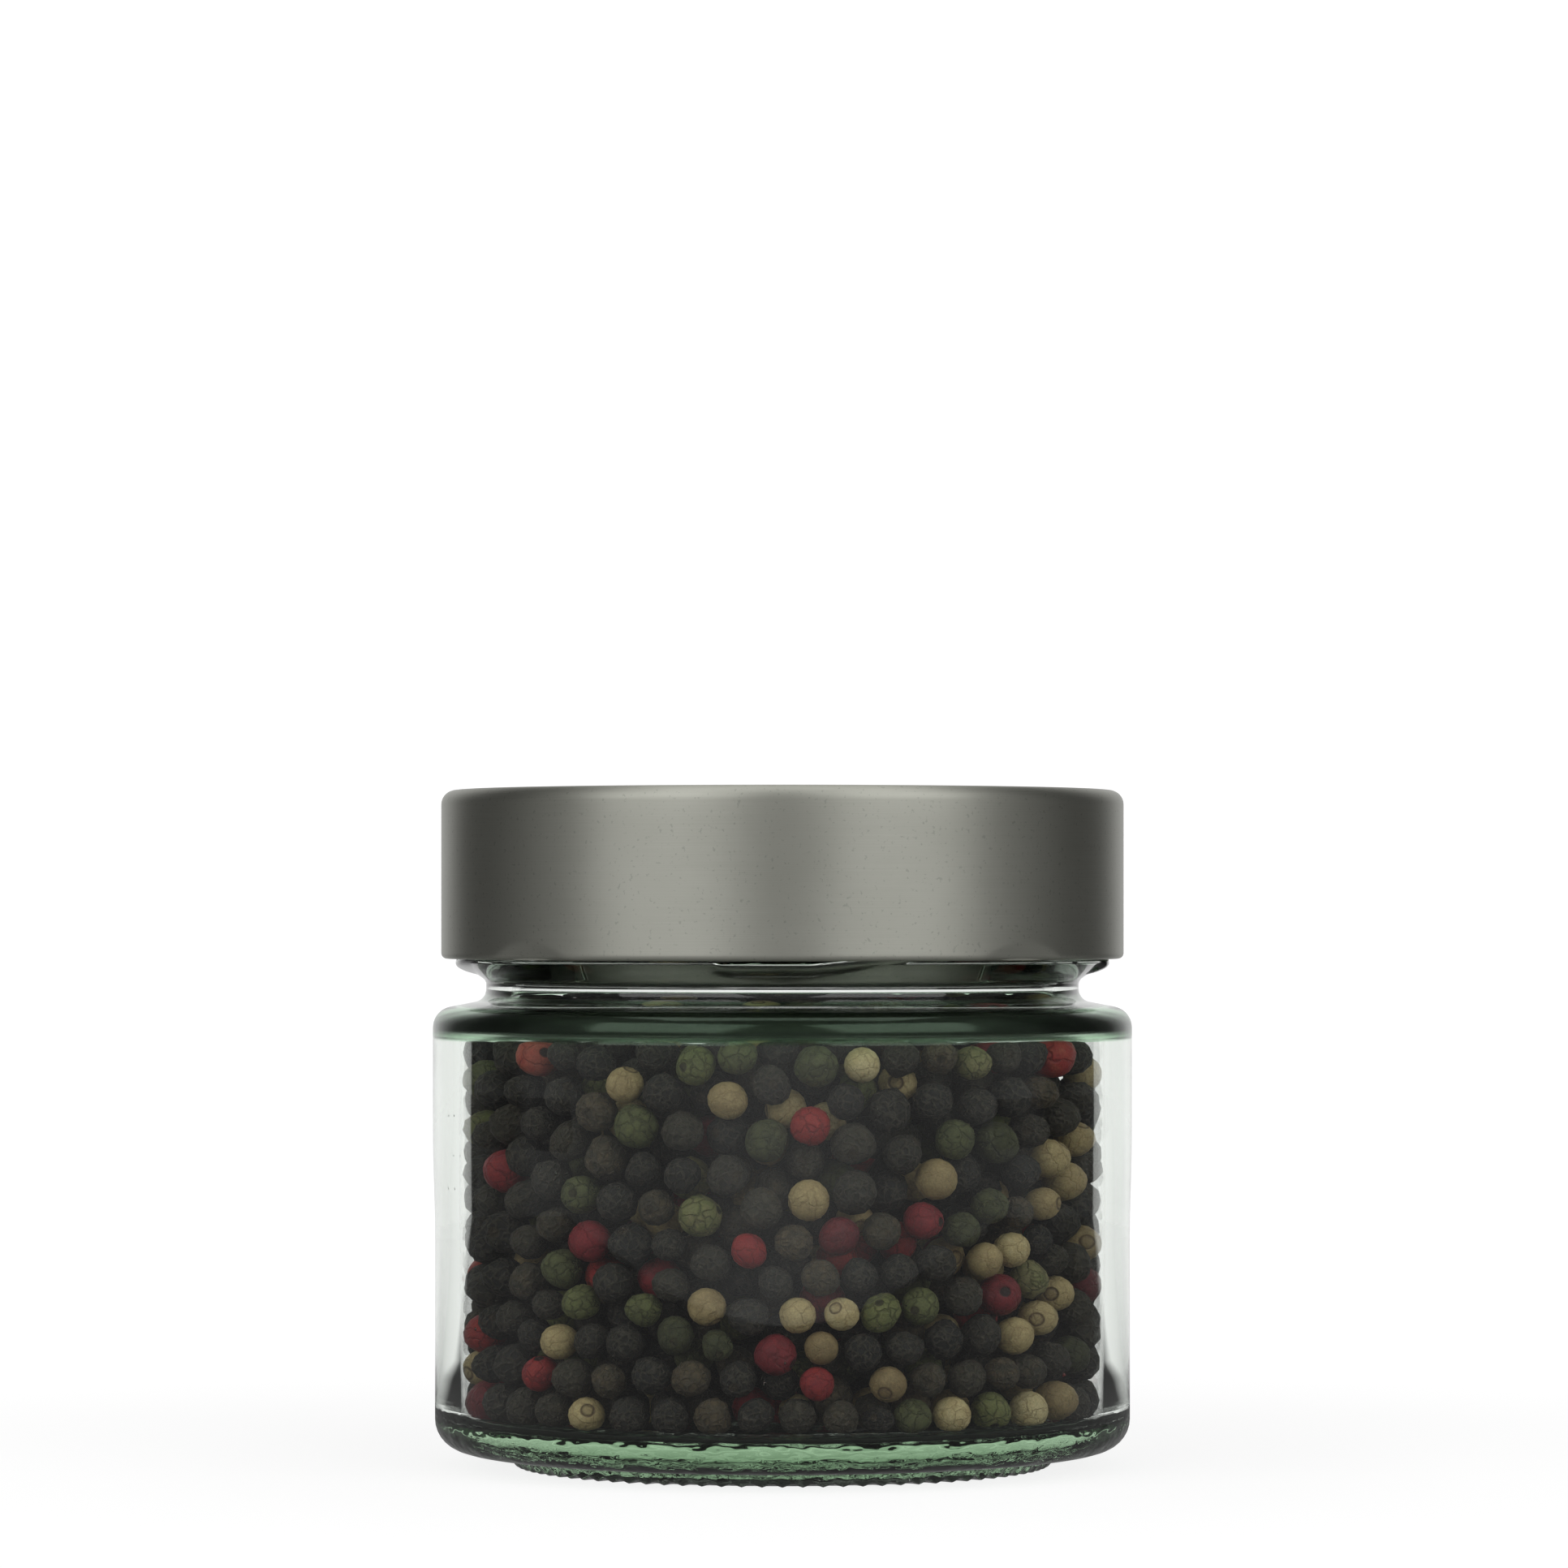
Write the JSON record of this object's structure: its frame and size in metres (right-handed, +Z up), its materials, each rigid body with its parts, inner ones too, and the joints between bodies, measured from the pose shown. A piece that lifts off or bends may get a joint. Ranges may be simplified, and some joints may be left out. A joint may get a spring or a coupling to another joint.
{
  "type": "spice jar",
  "caption": "Round clear glass spice jar full of mixed peppercorns, closed by a deep metal twist-off lid with a soft sealing ring.",
  "frame": {"origin": "middle of the jar's foot, on the plane that it stands on", "axes": "+Z up along the axis of the jar and its lid, -Y towards the picture's viewer"},
  "size_m": [0.0734, 0.0734, 0.0708],
  "materials": {
    "clear_glass": "clear, faintly green, smooth",
    "cap_metal": "tinplate, brushed round its skirt, dull",
    "sealing_compound": "soft, matt",
    "black_pepper": "dry, wrinkled",
    "green_pepper": "dry, wrinkled",
    "white_pepper": "dry, smooth",
    "pink_pepper": "dry, thin shell"
  },
  "bodies": {
    "jar": {"glass_jar": "clear_glass", "black_peppercorns": "black_pepper", "green_peppercorns": "green_pepper", "white_peppercorns": "white_pepper", "pink_peppercorns": "pink_pepper"},
    "seal": {"sealing_ring": "sealing_compound"},
    "cap": {"twist_cap": "cap_metal"}
  },
  "joints": [
    {"name": "lid_lift", "type": "slide", "parent": "jar", "child": "seal", "axis": [0, 0, 1], "range_m": [0, 0.0201]},
    {"name": "lid_twist", "type": "hinge", "parent": "seal", "child": "cap", "pos_m": [0, 0, 0.062], "axis": [0, 0, 1], "range_deg": [0, 360]}
  ],
  "couplings": [
    {"joint": "lid_lift", "follows": "lid_twist", "m_per_rad": 0.0031831}
  ]
}
